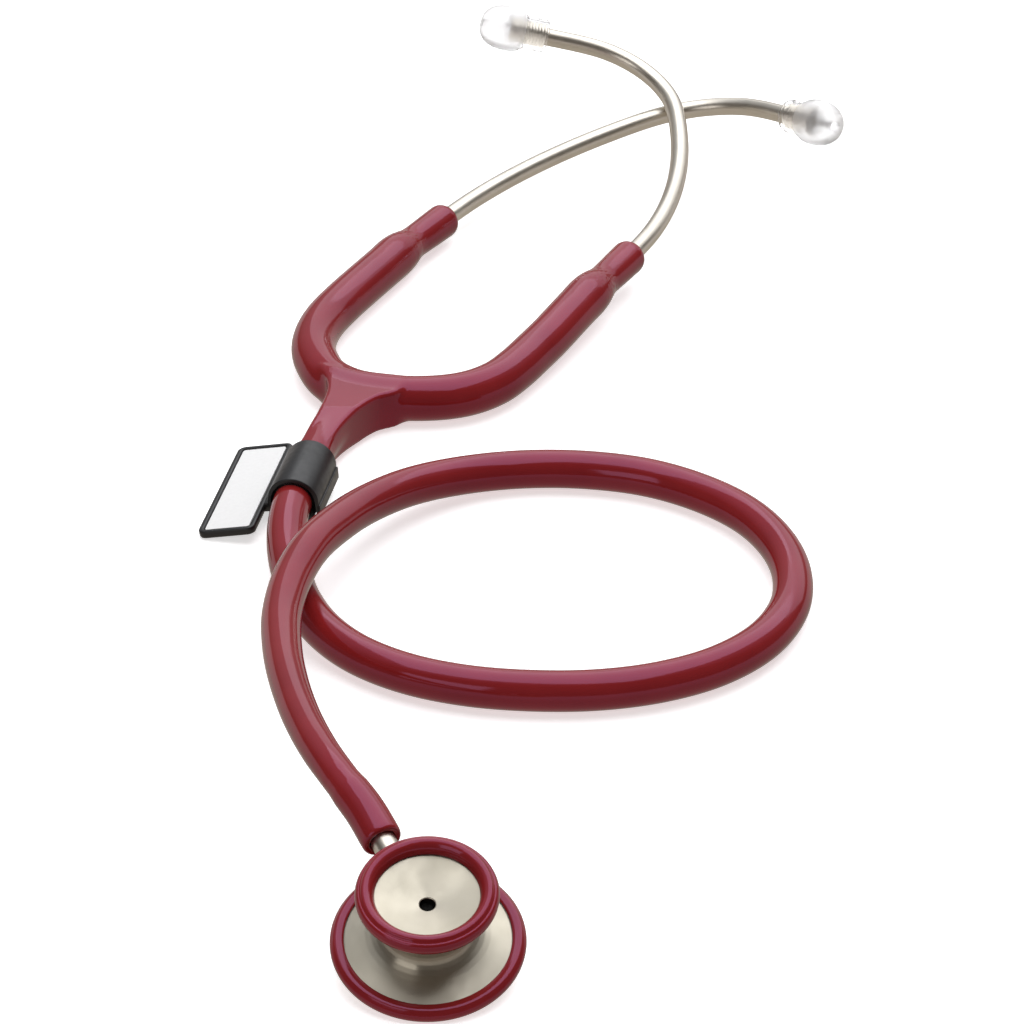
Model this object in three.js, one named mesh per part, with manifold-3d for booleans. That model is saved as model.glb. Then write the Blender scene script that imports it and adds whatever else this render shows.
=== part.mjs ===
// Dual-head stethoscope lying on a flat surface, tubing in one loose loop.
// Millimetres, +Z up. The ear tubes point to +Y and the chest piece to -Y.
// The origin is the bottom centre of the object's box, measured without the free tubing.
import * as THREE from "three";
import { mergeVertices } from "three/addons/utils/BufferGeometryUtils.js";
import Module from "manifold-3d";

const wasm = await Module();
wasm.setup();

const point = (x, y, z = 0) => new THREE.Vector3(x, y, z);
const radians = THREE.MathUtils.degToRad;

// ---------------------------------------------------------------- driving dimensions
const ORIGIN_SHIFT = point(-8.25, -7.28, 0);  // puts the origin under the middle of the box
const GAP = 0.3;                        // clearance between pieces that touch

const TUBE_RADIUS = 5.3;
const STALK_RADIUS = 5;                 // the yoke's stem inside the name tag
const TUBE_SIDES = 10;
const TUBE_STEPS = 78;
const ROUND_SIDES = 14;                 // sides of the arms' round sections
const LUMEN_RADIUS = 3.05;
const ARM_RADIUS = 6.4;
const NECK_RADIUS = 5.1;
const NECK_LENGTH = 27;
const NECK_MOUTH = 1.5;                 // the neck ends this far before the ear tube's bend
const REST_HEIGHT = 6.75;               // arm centre above the surface

const EAR_TUBE_RADIUS = 2.75;
const EAR_TUBE_BORE = 1.9;
const EAR_TUBE_SOCKET = 22;             // length pushed into the neck
const EAR_BEND_LENGTH = 83.7;           // long gentle bend
const EAR_HOOK_LENGTH = 42.1;           // tight bend towards the ear
const EAR_END_LENGTH = 20;              // straight end that carries the tip
const TIP_LENGTH = 21;
const TIP_RADIUS = 7;
const TIP_COLLAR_RADIUS = 5.2;
const TIP_COLLAR_LENGTH = 7.3;
const FERRULE_RADIUS = 3.7;
const FERRULE_LENGTH = 12;

const LEAF_WIDTH = 4;
const LEAF_THICKNESS = 0.7;

const CLIP_RADIUS = 7.1;
const CLIP_LENGTH = 22;
const CLIP_HEIGHT = 7.2;                // tube centre inside the clip
const PLATE_LENGTH = 47.4;
const PLATE_WIDTH = 16;
const PLATE_THICKNESS = 2.2;
const PLATE_BORDER = 1.5;
const PLATE_TILT = 12;                  // degrees, outer edge down
const CARD_THICKNESS = 0.35;

const HEAD_CENTRE = point(-19.3, -207.95, 8.37);   // centre of the diaphragm rim
const HEAD_TILT = 16;                   // degrees, stem side raised
const STEM_TURN = 115.5;                // degrees, stem direction in the head's plane
const STEM_LEVEL = 8;                   // stem axis above the diaphragm rim's middle
const STEM_RADIUS = 3;
const CORE_RADIUS = 3.3;
const STEM_BORE = 3.6;                  // bore in the head for the stem's core
const STEM_OUT = 25.2;                  // from the head's axis to the tube
const BLOCK_RADIUS = 10.6;
const BALL_RADIUS = 1.3;
const BALL_BORE = 1.7;

// centres of the two spread hinges, where the arms leave the yoke
const HINGE_LEFT = point(-55.3, 71.6, REST_HEIGHT);
const HINGE_RIGHT = point(-18.6, 52.2, REST_HEIGHT);

// ends of the necks, with the direction of each neck and the roll of its ear tube
const NECKS = {
  left: { end: point(-18.95, 165.4, REST_HEIGHT), heading: 59, roll: 12.1, bend: 32, hook: 78.8 },
  right: { end: point(36.25, 136.2, 9.45), heading: 63.1, roll: 18.8, bend: 35, hook: 86.7 },
};

const ARM_ROUTE = {
  left: [
    HINGE_LEFT,
    point(-56.8, 79.5, REST_HEIGHT),
    point(-56.5, 88, REST_HEIGHT),
    point(-54.3, 97.5, REST_HEIGHT),
    point(-50, 108, REST_HEIGHT),
    point(-45, 118.3, REST_HEIGHT),
    point(-38.8, 130.5, REST_HEIGHT),
  ],
  right: [
    HINGE_RIGHT,
    point(-11.4, 54.9, REST_HEIGHT),
    point(-4.5, 60.4, 6.8),
    point(1, 68.3, 6.95),
    point(6.2, 77.6, 7.3),
    point(10.9, 86, 7.9),
    point(16.8, 97.5, 8.8),
  ],
};

const CROTCH_ROUTE = [
  HINGE_LEFT,
  point(-51.7, 62.5, REST_HEIGHT),
  point(-45.2, 56, REST_HEIGHT),
  point(-37, 52.6, REST_HEIGHT),
  point(-28, 51.4, REST_HEIGHT),
  HINGE_RIGHT,
];

const STALK_ROUTE = [
  point(-42.5, 55, REST_HEIGHT),
  point(-46.8, 43.5, REST_HEIGHT),
  point(-50.8, 31, 7),
  point(-54.2, 18.5, CLIP_HEIGHT),
  point(-56.2, 8, CLIP_HEIGHT),
];

const WEB_OUTLINE = [
  [-55.5, 62], [-52.8, 50], [-54, 36], [-56.4, 25],
  [-49.4, 23], [-44.8, 34], [-36.8, 44.5], [-25, 47.5], [-24, 53], [-44, 56.5],
];

const TUBE_ROUTE = [
  point(-56.3, 7.6, CLIP_HEIGHT),
  point(-59.1, -7, CLIP_HEIGHT),
  point(-60.1, -18, 6.8),
  point(-59.7, -30, 6),
  point(-57.8, -42.5, 5.6),
  point(-54.5, -56, 5.6),
  point(-48.5, -69.5, 5.6),
  point(-39.5, -81, 5.6),
  point(-27, -90, 5.6),
  point(-12, -95.7, 5.6),
  point(5, -98.2, 5.6),
  point(22, -97.8, 5.6),
  point(38, -94, 5.6),
  point(52.5, -86.5, 5.6),
  point(64.5, -74.5, 5.6),
  point(71.8, -59, 5.6),
  point(73.6, -43, 5.6),
  point(70.8, -27, 5.6),
  point(63.5, -12, 5.6),
  point(52, 0, 5.6),
  point(37, 9, 5.6),
  point(20, 13.2, 5.6),
  point(3, 13.3, 5.7),
  point(-13, 8.8, 6.5),
  point(-27, -0.9, 8.7),
  point(-38.5, -15.5, 11.7),
  point(-46.8, -32, 14.8),
  point(-52.7, -48, 17.2),
  point(-56.7, -65, 18),
  point(-58.3, -83, 18.7),
  point(-57.3, -102, 20.4),
  point(-54.8, -120.5, 22.6),
  point(-50.7, -140.2, 24.9),
  point(-45.8, -156.6, 26.5),
  point(-40.9, -168.4, 26.9),
];

// ---------------------------------------------------------------- materials
const finish = (color, roughness, metalness = 0) =>
  new THREE.MeshStandardMaterial({ color, roughness, metalness });

const burgundy = finish(0x8a1c2c, 0.28);
const satinSteel = finish(0xcfc6b8, 0.3, 1);
const springSteel = finish(0x8f9296, 0.4, 1);
const clearSilicone = finish(0xeeeeec, 0.35);
const blackPlastic = finish(0x1c1d1f, 0.45);
const whiteCard = finish(0xf4f4f4, 0.7);
const blackRubber = finish(0x202020, 0.8);
const epoxyGlass = finish(0xe9e2d2, 0.4);

// ---------------------------------------------------------------- shape helpers
function circlePoints(radius, sides) {
  const points = [];
  for (let i = 0; i < sides; i += 1) {
    const angle = (2 * Math.PI * i) / sides;
    points.push(new THREE.Vector2(radius * Math.cos(angle), radius * Math.sin(angle)));
  }
  return points;
}

function roundSection(radius, sides, bore = 0) {
  const section = new THREE.Shape(circlePoints(radius, sides));
  if (bore > 0) {
    section.holes.push(new THREE.Path(circlePoints(bore, sides)));
  }
  return section;
}

// a section swept along a smooth curve through the given points
function sweep(section, points, steps) {
  const extrudePath = new THREE.CatmullRomCurve3(points, false, "centripetal");
  return new THREE.ExtrudeGeometry(section, { steps, bevelEnabled: false, extrudePath });
}

// a closed solid turned about Z from [radius, height] pairs
function turned(profile, sides) {
  const pairs = profile.map(([r, z]) => new THREE.Vector2(r, z));
  const closedOnAxis = pairs[0].x === 0 && pairs[pairs.length - 1].x === 0;
  if (!closedOnAxis) {
    pairs.push(pairs[0].clone());
  }
  return new THREE.LatheGeometry(pairs, sides).rotateX(Math.PI / 2);
}

const rod = (radius, from, to, sides = 20) =>
  turned([[0, from], [radius, from], [radius, to], [0, to]], sides);

// welded copy of a geometry with its faces pointing outwards
function welded(geometry) {
  const bare = geometry.clone();
  bare.deleteAttribute("normal");
  bare.deleteAttribute("uv");
  const merged = mergeVertices(bare, 1e-4);
  const index = merged.index.array;
  const kept = [];
  for (let i = 0; i < index.length; i += 3) {
    const [a, b, c] = [index[i], index[i + 1], index[i + 2]];
    if (a !== b && b !== c && a !== c) {
      kept.push(a, b, c);
    }
  }
  const position = merged.attributes.position;
  let volume = 0;
  for (let i = 0; i < kept.length; i += 3) {
    const [a, b, c] = [0, 1, 2].map((k) => point().fromBufferAttribute(position, kept[i + k]));
    volume += a.dot(b.cross(c));
  }
  if (volume < 0) {
    kept.reverse();
  }
  merged.setIndex(kept);
  return merged;
}

function solid(geometry) {
  const closed = welded(geometry);
  return new wasm.Manifold(new wasm.Mesh({
    numProp: 3,
    vertProperties: new Float32Array(closed.attributes.position.array),
    triVerts: new Uint32Array(closed.index.array),
  }));
}

function geometryOf(body) {
  const { vertProperties, triVerts } = body.getMesh();
  const geometry = new THREE.BufferGeometry();
  geometry.setAttribute("position", new THREE.BufferAttribute(new Float32Array(vertProperties), 3));
  geometry.setIndex(new THREE.BufferAttribute(new Uint32Array(triVerts), 1));
  return geometry;
}

function piece(name, shape, material) {
  const geometry = shape instanceof THREE.BufferGeometry ? welded(shape) : geometryOf(shape);
  geometry.computeVertexNormals();
  const mesh = new THREE.Mesh(geometry, material);
  mesh.name = name;
  return mesh;
}

function groupOf(...children) {
  const group = new THREE.Group();
  group.add(...children);
  return group;
}

// turns a group so that its X and Y axes point the given ways
function orient(group, position, xAxis, yAxis) {
  const zAxis = xAxis.clone().cross(yAxis).normalize();
  const basis = new THREE.Matrix4().makeBasis(xAxis, yAxis, zAxis);
  group.quaternion.setFromRotationMatrix(basis);
  group.position.copy(position);
  return group;
}

const heading = (degrees) => point(Math.cos(radians(degrees)), Math.sin(radians(degrees)));
const along = (start, direction, distance) => start.clone().addScaledVector(direction, distance);

// ---------------------------------------------------------------- yoke
function yokeArm(side) {
  const { end, heading: degrees } = NECKS[side];
  const direction = heading(degrees);
  const shoulder = along(end, direction, -NECK_LENGTH);
  const route = [...ARM_ROUTE[side], shoulder];
  const body = solid(sweep(roundSection(ARM_RADIUS, ROUND_SIDES), route, 14));
  const knuckle = solid(new THREE.SphereGeometry(ARM_RADIUS, 18, 10).translate(...route[0]));
  const neckRoute = [along(shoulder, direction, -1), along(end, direction, -NECK_MOUTH)];
  const neck = solid(sweep(roundSection(NECK_RADIUS, ROUND_SIDES), neckRoute, 1));
  const boreRoute = [along(route[0], heading(degrees), -1), ...route.slice(1), along(end, direction, 1)];
  const bore = solid(sweep(roundSection(LUMEN_RADIUS, 10), boreRoute, 16));
  return piece(`yoke_arm_${side}`, body.add(knuckle).add(neck).subtract(bore), burgundy);
}

const leafSection = () => {
  const [w, t] = [LEAF_WIDTH / 2, LEAF_THICKNESS / 2];
  const corners = [[-t, -w], [t, -w], [t, w], [-t, w]];
  return new THREE.Shape(corners.map(([x, y]) => new THREE.Vector2(x, y)));
};

// the part of each leaf spring that lies in the arm, behind the ear tube's end
function leafSpring(side) {
  const { end, heading: degrees } = NECKS[side];
  const shoulder = along(end, heading(degrees), -NECK_LENGTH);
  const route = [...ARM_ROUTE[side].slice(1), shoulder];
  return piece(`leaf_spring_${side}`, sweep(leafSection(), route, 12), springSteel);
}

function yokeHub() {
  const crotch = solid(sweep(roundSection(ARM_RADIUS, ROUND_SIDES), CROTCH_ROUTE, 10));
  const stalk = solid(sweep(roundSection(STALK_RADIUS, ROUND_SIDES), STALK_ROUTE, 8));
  const outline = new THREE.Shape(WEB_OUTLINE.map(([x, y]) => new THREE.Vector2(x, y)));
  const webThickness = 9;
  const web = solid(new THREE.ExtrudeGeometry(outline, { depth: webThickness, bevelEnabled: false })
    .translate(0, 0, REST_HEIGHT - webThickness / 2));
  const lumen = solid(sweep(roundSection(LUMEN_RADIUS, 10), CROTCH_ROUTE, 10));
  const stalkEnd = STALK_ROUTE[STALK_ROUTE.length - 1];
  const stalkBore = [...STALK_ROUTE, along(stalkEnd, point(-0.19, -0.98), 1)];
  const stalkLumen = solid(sweep(roundSection(LUMEN_RADIUS - 0.5, 10), stalkBore, 8));
  let hub = crotch.add(stalk).add(web).subtract(lumen).subtract(stalkLumen);
  for (const [hinge, outward] of [[HINGE_LEFT, heading(106)], [HINGE_RIGHT, heading(16)]]) {
    const socket = solid(new THREE.SphereGeometry(ARM_RADIUS + GAP, 18, 10).translate(...hinge));
    const cutter = solid(rod(12, -2.6, 9).rotateY(Math.PI / 2)
      .rotateZ(Math.atan2(outward.y, outward.x)).translate(...hinge));
    hub = hub.subtract(socket).subtract(cutter);
  }
  return piece("yoke_hub", hub, burgundy);
}

// the bow of flat spring that joins the two leaves across the crotch
function springBridge() {
  const route = CROTCH_ROUTE.slice(1, -1);
  return piece("spring_bridge", sweep(leafSection(), route, 10), springSteel);
}

// ---------------------------------------------------------------- tubing
function headFrame() {
  const tilt = radians(HEAD_TILT);
  const across = point(1, 0, 0);
  const back = point(0, Math.cos(tilt), Math.sin(tilt));
  const up = point(0, -Math.sin(tilt), Math.cos(tilt));
  const turn = radians(STEM_TURN);
  const stem = across.clone().multiplyScalar(Math.cos(turn)).addScaledVector(back, Math.sin(turn));
  return { across, back, up, stem };
}

function longTube() {
  const { up, stem } = headFrame();
  const stemRoot = along(HEAD_CENTRE, up, STEM_LEVEL);
  const route = [
    ...TUBE_ROUTE,
    along(stemRoot, stem, STEM_OUT + 10),
    along(stemRoot, stem, STEM_OUT + GAP),
  ];
  return piece("tube", sweep(roundSection(TUBE_RADIUS, TUBE_SIDES), route, TUBE_STEPS), burgundy);
}

// ---------------------------------------------------------------- ear tubes and tips
function earTubePath(bend, hook) {
  const points = [point(-EAR_TUBE_SOCKET, 0), point(-EAR_TUBE_SOCKET / 2, 0)];
  let place = point(0, 0);
  let turn = 0;
  points.push(place);
  for (const [length, total, parts] of [[EAR_BEND_LENGTH, bend, 6], [EAR_HOOK_LENGTH, hook, 6]]) {
    for (let i = 0; i < parts; i += 1) {
      const step = total / parts;
      place = along(place, heading(turn + step / 2), length / parts);
      turn += step;
      points.push(place);
    }
  }
  const end = along(place, heading(turn), EAR_END_LENGTH);
  points.push(along(place, heading(turn), EAR_END_LENGTH / 2), end);
  return { points, end, turn };
}

function earTube(side) {
  const { end, heading: degrees, roll, bend, hook } = NECKS[side];
  const path = earTubePath(bend, hook);
  const section = roundSection(EAR_TUBE_RADIUS, 10, EAR_TUBE_BORE);
  const tube = piece(`ear_tube_${side}`, sweep(section, path.points, 27), satinSteel);

  const ferruleStart = -FERRULE_LENGTH + 5;
  const ferruleBore = EAR_TUBE_RADIUS + GAP;
  const ferrule = piece(`tip_ferrule_${side}`, turned([
    [ferruleBore, ferruleStart],
    [FERRULE_RADIUS, ferruleStart],
    [FERRULE_RADIUS, 4.4],
    [FERRULE_RADIUS - 0.4, 5],
    [ferruleBore, 5],
  ], 16), satinSteel);

  const bore = FERRULE_RADIUS + GAP;
  const collarStart = -TIP_COLLAR_LENGTH;
  const domeEnd = TIP_LENGTH - TIP_COLLAR_LENGTH;
  const soundHole = 1.3;
  const tip = piece(`eartip_${side}`, turned([
    [bore, collarStart],
    [TIP_COLLAR_RADIUS, collarStart],
    [TIP_COLLAR_RADIUS, 0],
    [TIP_RADIUS * 0.86, 0.9],
    [TIP_RADIUS * 0.98, 3.4],
    [TIP_RADIUS, 5.4],
    [TIP_RADIUS * 0.95, 8],
    [TIP_RADIUS * 0.8, 10.6],
    [TIP_RADIUS * 0.52, 12.8],
    [soundHole + 0.5, domeEnd],
    [soundHole, domeEnd - 0.4],
    [soundHole, 6.4],
    [bore, 5.6],
  ], 18), clearSilicone);

  const nose = groupOf(ferrule, tip);
  orient(nose, path.end, heading(path.turn + 90), point(0, 0, 1));

  const armDirection = heading(degrees);
  const inward = side === "left"
    ? point(armDirection.y, -armDirection.x)
    : point(-armDirection.y, armDirection.x);
  const swing = inward.multiplyScalar(Math.cos(radians(roll))).setZ(Math.sin(radians(roll)));
  return orient(groupOf(tube, nose), end, armDirection, swing);
}

// ---------------------------------------------------------------- name tag
function nameTag() {
  const lower = TUBE_ROUTE[1];
  const upper = STALK_ROUTE[3];
  const axis = upper.clone().sub(lower).normalize();
  const gapStart = radians(202);
  const gapEnd = radians(216);
  const section = new THREE.Shape();
  const inner = TUBE_RADIUS + 0.45;
  section.absarc(0, 0, CLIP_RADIUS, gapEnd - 2 * Math.PI, gapStart, false);
  section.absarc(0, 0, inner, gapStart, gapEnd - 2 * Math.PI, true);
  const ringOptions = { depth: CLIP_LENGTH, bevelEnabled: false, curveSegments: 14 };
  const ring = solid(new THREE.ExtrudeGeometry(section, ringOptions));

  const lip = solid(new THREE.BoxGeometry(1.2, 3.4, CLIP_LENGTH)
    .translate(-CLIP_RADIUS, -2.2, CLIP_LENGTH / 2));

  const plateShift = -(PLATE_LENGTH - CLIP_LENGTH) / 2 + 0.4;
  const edge = point(8.1, -1.7);
  const tilt = -radians(PLATE_TILT);
  const settle = (geometry) => geometry.rotateZ(tilt).translate(edge.x, edge.y, 0);
  const slab = solid(settle(new THREE.BoxGeometry(PLATE_WIDTH, PLATE_THICKNESS, PLATE_LENGTH)
    .translate(PLATE_WIDTH / 2, -PLATE_THICKNESS / 2, PLATE_LENGTH / 2 + plateShift)));
  const recessWidth = PLATE_WIDTH - 2 * PLATE_BORDER;
  const recessLength = PLATE_LENGTH - 2 * PLATE_BORDER;
  const recessDepth = 0.9;
  const recess = solid(settle(new THREE.BoxGeometry(recessWidth, 2 * recessDepth, recessLength)
    .translate(PLATE_WIDTH / 2, 0, PLATE_LENGTH / 2 + plateShift)));
  const neckWidth = 3;
  const neck = solid(new THREE.BoxGeometry(neckWidth, PLATE_THICKNESS, CLIP_LENGTH)
    .translate(CLIP_RADIUS, edge.y - PLATE_THICKNESS / 2 - 0.1, CLIP_LENGTH / 2));
  const passage = solid(rod(inner, -5, CLIP_LENGTH + 5, 28));
  const clip = piece("tag_clip", ring.add(lip).add(neck).add(slab).subtract(recess).subtract(passage),
    blackPlastic);

  const card = piece("tag_card", settle(new THREE.BoxGeometry(
    recessWidth - 2 * GAP,
    CARD_THICKNESS,
    recessLength - 2 * GAP,
  ).translate(PLATE_WIDTH / 2, -recessDepth + GAP + CARD_THICKNESS / 2, PLATE_LENGTH / 2 + plateShift)),
  whiteCard);

  const outward = point(-axis.y, axis.x);
  return orient(groupOf(clip, card), point(lower.x, lower.y, CLIP_HEIGHT), outward, point(0, 0, 1));
}

// ---------------------------------------------------------------- chest piece
const HEAD_PROFILE = [
  [0, 0.2], [6, 0.2], [18.6, -0.5], [19.4, -0.9], [21.1, -0.9], [21.1, 0.3],
  [19.8, 0.5], [11.2, 2.6], [BLOCK_RADIUS, 3.1], [BLOCK_RADIUS, 11], [9.9, 11.6],
  [11.2, 12.6], [14.2, 14.3], [15.2, 15.2], [15.2, 16.7], [12.3, 16.6], [2.1, 12.6], [0, 12.6],
];

function headPieces() {
  const alongStem = (geometry) => geometry.rotateY(Math.PI / 2)
    .rotateZ(radians(STEM_TURN)).translate(0, 0, STEM_LEVEL);
  const alongDetent = (geometry) => geometry.rotateY(Math.PI / 2)
    .rotateZ(radians(STEM_TURN - 90)).translate(0, 0, STEM_LEVEL);

  const bossRadius = 4.7;
  const bossEnd = 13.2;
  const boss = solid(alongStem(rod(bossRadius, 6, bossEnd)));
  const stemBore = solid(alongStem(rod(STEM_BORE, -3.6, bossEnd + 5)));
  const ballBore = solid(alongDetent(rod(BALL_BORE, 0, BLOCK_RADIUS + 3, 16)));
  const bellHole = solid(rod(2.1, STEM_LEVEL, 16));
  const dishHole = solid(rod(1.5, -2, STEM_LEVEL, 16));
  const body = solid(turned(HEAD_PROFILE, 36)).add(boss)
    .subtract(stemBore).subtract(ballBore).subtract(bellHole).subtract(dishHole);

  const bellRim = [
    [12.05, 17], [12.15, 17.8], [12.9, 18.6], [14.2, 18.9], [15.5, 18.5], [16.3, 17.6],
    [16.6, 16.5], [16.4, 15.5], [15.8, 14.8], [15.5, 14.9], [15.5, 17],
  ];
  const diaphragmRim = [
    [19.6, -1.85], [19.9, -2.5], [20.3, -2.6], [21.3, -2.6], [22.2, -2.1], [22.7, -1.2],
    [22.7, -0.2], [22.3, 0.8], [21.5, 1.3], [20.3, 1.2], [19.7, 0.8], [21.4, 0.6], [21.4, -1.85],
  ];
  const membrane = [
    [0, -1.7], [19.2, -1.7], [19.2, -1.5], [21.1, -1.5], [21.1, -1.2], [0, -1.2],
  ];

  const ballPlace = CORE_RADIUS + GAP + BALL_RADIUS;
  const ball = alongDetent(new THREE.SphereGeometry(BALL_RADIUS, 12, 8)
    .translate(0, 0, ballPlace));
  const springStart = ballPlace + BALL_RADIUS + 0.5;
  const springLength = 1.9;
  const springTurns = 3.5;
  const coil = [];
  const coilRadius = 1;
  for (let i = 0; i <= 8 * springTurns; i += 1) {
    const angle = (i / 8) * 2 * Math.PI;
    const rise = (springLength * i) / (8 * springTurns);
    coil.push(point(coilRadius * Math.cos(angle), coilRadius * Math.sin(angle), springStart + rise));
  }
  const wire = roundSection(0.18, 5);
  const plug = alongDetent(rod(BALL_BORE - GAP, springStart + springLength + 0.5, 10.3, 16));

  return [
    piece("head_body", body, satinSteel),
    piece("bell_rim", turned(bellRim, 32), burgundy),
    piece("diaphragm_rim", turned(diaphragmRim, 36), burgundy),
    piece("diaphragm", turned(membrane, 36), epoxyGlass),
    piece("detent_ball", ball, springSteel),
    piece("detent_spring", alongDetent(sweep(wire, coil, 36)), springSteel),
    piece("detent_plug", plug, satinSteel),
  ];
}

function stemPieces() {
  const lumen = 1.4;
  const outline = [
    [0, -3.3], [CORE_RADIUS, -3.3], [CORE_RADIUS, 7], [2.55, 7], [2.55, 8.4],
    [CORE_RADIUS, 8.4], [CORE_RADIUS, 13.2], [STEM_RADIUS, 13.4],
    [STEM_RADIUS, STEM_OUT], [0, STEM_OUT],
  ];
  const port = rod(lumen - 0.1, 0, CORE_RADIUS + 1, 12).rotateX(-Math.PI / 2);
  const stem = solid(turned(outline, 20))
    .subtract(solid(rod(lumen, -1.6, STEM_OUT + 1, 12)))
    .subtract(solid(port));
  const collar = [[3.3, 13.6], [4.4, 13.6], [4.7, 14], [4.7, 15], [4.4, 15.4], [3.3, 15.4]];
  const seal = new THREE.TorusGeometry(3.05, 0.35, 6, 18).translate(0, 0, 7.7);
  const pieces = [
    piece("stem", stem, satinSteel),
    piece("stem_collar", turned(collar, 20), satinSteel),
    piece("o_ring", seal, blackRubber),
  ];
  return orient(groupOf(...pieces), point(0, 0, STEM_LEVEL), heading(STEM_TURN + 90), point(0, 0, 1));
}

function chestPiece() {
  const chest = groupOf(...headPieces(), stemPieces());
  chest.rotation.x = radians(HEAD_TILT);
  chest.position.copy(HEAD_CENTRE);
  return chest;
}

// ---------------------------------------------------------------- the whole object
const stethoscope = groupOf(
  yokeHub(),
  springBridge(),
  yokeArm("left"),
  yokeArm("right"),
  leafSpring("left"),
  leafSpring("right"),
  earTube("left"),
  earTube("right"),
  longTube(),
  nameTag(),
  chestPiece(),
);
stethoscope.position.copy(ORIGIN_SHIFT);

export default stethoscope;
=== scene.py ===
import math

import bmesh
import bpy
import numpy as np
from mathutils import Matrix, Vector


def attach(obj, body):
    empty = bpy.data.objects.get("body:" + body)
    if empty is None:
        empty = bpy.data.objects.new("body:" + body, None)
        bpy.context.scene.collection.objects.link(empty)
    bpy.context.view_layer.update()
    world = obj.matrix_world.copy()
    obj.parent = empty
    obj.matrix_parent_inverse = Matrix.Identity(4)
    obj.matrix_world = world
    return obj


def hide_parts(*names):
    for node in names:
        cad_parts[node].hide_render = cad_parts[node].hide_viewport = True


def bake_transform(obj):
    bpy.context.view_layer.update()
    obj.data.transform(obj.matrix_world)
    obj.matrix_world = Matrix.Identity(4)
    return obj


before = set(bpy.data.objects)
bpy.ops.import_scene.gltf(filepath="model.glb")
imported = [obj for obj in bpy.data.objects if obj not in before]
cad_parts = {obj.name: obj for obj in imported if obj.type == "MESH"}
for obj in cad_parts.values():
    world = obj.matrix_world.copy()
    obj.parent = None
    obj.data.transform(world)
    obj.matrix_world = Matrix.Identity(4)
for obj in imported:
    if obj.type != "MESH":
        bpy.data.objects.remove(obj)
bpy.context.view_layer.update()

# All sizes are in millimetres. Points that go through placed() are laid out about the middle of the
# object and moved by SHIFT into its frame.
MM = 0.001
SHIFT = np.array((-8.25, -7.28, 0.0))


def placed(points):
    return np.asarray(points, float) + SHIFT


def unit(v):
    v = np.asarray(v, float)
    return v / np.linalg.norm(v)


def heading(degrees):
    return np.array((math.cos(math.radians(degrees)), math.sin(math.radians(degrees)), 0.0))


# ---------------------------------------------------------------- lines
def evenly(line, spacing):
    """The same line with its points an even distance apart."""
    steps = np.linalg.norm(np.diff(line, axis=0), axis=1)
    run = np.concatenate([[0.0], np.cumsum(steps)])
    at = np.linspace(0.0, run[-1], max(2, round(run[-1] / spacing) + 1))
    return np.column_stack([np.interp(at, run, line[:, k]) for k in range(3)])


def smooth_line(points, spacing=1.0):
    """Even points on a centripetal Catmull-Rom curve through the given ones."""
    p = np.asarray(points, float)
    p = np.vstack([2 * p[0] - p[1], p, 2 * p[-1] - p[-2]])
    u = np.linspace(0.0, 1.0, 40, endpoint=False)[:, None]
    spans = []
    for a, b, c, d in zip(p, p[1:], p[2:], p[3:]):
        k0, k1, k2 = (math.sqrt(np.linalg.norm(y - x)) for x, y in ((a, b), (b, c), (c, d)))
        t1 = ((b - a) / k0 - (c - a) / (k0 + k1) + (c - b) / k1) * k1
        t2 = ((c - b) / k1 - (d - b) / (k1 + k2) + (d - c) / k2) * k1
        spans.append(b + t1 * u + (3 * c - 3 * b - 2 * t1 - t2) * u**2
                     + (2 * b - 2 * c + t1 + t2) * u**3)
    return evenly(np.vstack(spans + [p[-2][None]]), spacing)


def run_of(line):
    return np.concatenate([[0.0], np.cumsum(np.linalg.norm(np.diff(line, axis=0), axis=1))])


def eased(profile, radius, steps=4, loop=False):
    """The profile with its corners rounded, and a support point beside each curve."""
    most, support = 0.42, 1.4
    p = np.asarray(profile, float)
    count = len(p)
    out = []
    for i in range(count):
        if not loop and i in (0, count - 1):
            out.append(p[i])
            continue
        before, here, after = p[i - 1], p[i], p[(i + 1) % count]
        la, lb = np.linalg.norm(before - here), np.linalg.norm(after - here)
        cut = min(radius, most * la, most * lb)
        a = here + (before - here) / la * cut
        b = here + (after - here) / lb * cut
        if la > 3 * cut:
            out.append(here + (before - here) / la * cut * support)
        for k in range(steps + 1):
            t = k / steps
            out.append(a * (1 - t) ** 2 + here * 2 * t * (1 - t) + b * t**2)
        if lb > 3 * cut:
            out.append(here + (after - here) / lb * cut * support)
    return np.array(out)


# ---------------------------------------------------------------- meshes
def shown(name, mesh, matrix=None):
    o = bpy.data.objects.new(name, mesh)
    bpy.context.scene.collection.objects.link(o)
    if matrix is not None:
        o.matrix_world = matrix
    for face in mesh.polygons:
        face.use_smooth = True
    return o


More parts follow.
